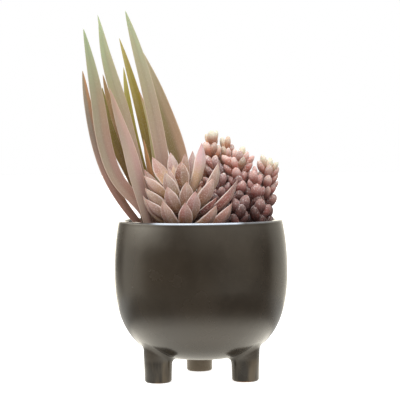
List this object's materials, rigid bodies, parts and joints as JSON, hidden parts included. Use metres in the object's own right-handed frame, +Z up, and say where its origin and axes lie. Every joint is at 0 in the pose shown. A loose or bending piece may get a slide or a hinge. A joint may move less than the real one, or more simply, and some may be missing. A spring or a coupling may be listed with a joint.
{
  "type": "potted succulent arrangement",
  "caption": "Dark round bowl on stubby feet planted with a tall long-leaved aloe, a pointed-leaf rosette and a clump of bead-leaved sedum sprigs.",
  "frame": {"origin": "bottom centre of the whole arrangement's box, on the plane that the three feet stand on", "axes": "+Z up, along the pot's axis and towards the leaf tips; +X to the right and -Y towards the viewer, as the arrangement is looked at from its front"},
  "size_m": [0.1368, 0.1152, 0.243],
  "materials": {
    "glaze": "satin dark brown glaze, slightly mottled",
    "mix": "loose dark bark and peat mix with small grit",
    "aloe_leaf": "waxy matte leaf skin, dusty green tips fading to pinkish brown",
    "rosette_leaf": "powdery dusty pink leaf skin with pale edges",
    "stem": "dry scarred stem",
    "sedum_bead": "frosted plump beads, peach at the top and mauve lower down"
  },
  "bodies": {
    "root": {"pot": "glaze", "potting_mix": "mix", "aloe_leaf_01": "aloe_leaf", "aloe_leaf_02": "aloe_leaf", "aloe_leaf_03": "aloe_leaf", "aloe_leaf_04": "aloe_leaf", "aloe_leaf_05": "aloe_leaf", "aloe_leaf_06": "aloe_leaf", "aloe_leaf_07": "aloe_leaf", "aloe_leaf_08": "aloe_leaf", "aloe_leaf_09": "aloe_leaf", "aloe_leaf_10": "aloe_leaf", "aloe_leaf_11": "aloe_leaf", "aloe_leaf_12": "aloe_leaf", "aloe_leaf_13": "aloe_leaf", "rosette_stem": "stem", "rosette_leaf_01": "rosette_leaf", "rosette_leaf_02": "rosette_leaf", "rosette_leaf_03": "rosette_leaf", "rosette_leaf_04": "rosette_leaf", "rosette_leaf_05": "rosette_leaf", "rosette_leaf_06": "rosette_leaf", "rosette_leaf_07": "rosette_leaf", "rosette_leaf_08": "rosette_leaf", "rosette_leaf_09": "rosette_leaf", "rosette_leaf_10": "rosette_leaf", "rosette_leaf_11": "rosette_leaf", "rosette_leaf_12": "rosette_leaf", "rosette_leaf_13": "rosette_leaf", "rosette_leaf_14": "rosette_leaf", "rosette_leaf_15": "rosette_leaf", "rosette_leaf_16": "rosette_leaf", "rosette_leaf_17": "rosette_leaf", "rosette_leaf_18": "rosette_leaf", "rosette_leaf_19": "rosette_leaf", "rosette_leaf_20": "rosette_leaf", "rosette_leaf_21": "rosette_leaf", "rosette_leaf_22": "rosette_leaf", "rosette_leaf_23": "rosette_leaf", "rosette_leaf_24": "rosette_leaf", "rosette_leaf_25": "rosette_leaf", "rosette_leaf_26": "rosette_leaf", "rosette_leaf_27": "rosette_leaf", "rosette_leaf_28": "rosette_leaf", "rosette_leaf_29": "rosette_leaf", "rosette_leaf_30": "rosette_leaf", "rosette_leaf_31": "rosette_leaf", "rosette_leaf_32": "rosette_leaf", "sedum_sprig_1": "sedum_bead", "sedum_sprig_2": "sedum_bead", "sedum_sprig_3": "sedum_bead", "sedum_sprig_4": "sedum_bead", "sedum_sprig_5": "sedum_bead", "sedum_sprig_6": "sedum_bead", "sedum_sprig_7": "sedum_bead", "sedum_sprig_8": "sedum_bead", "sedum_sprig_9": "sedum_bead", "sedum_sprig_10": "sedum_bead"}
  },
  "joints": []
}
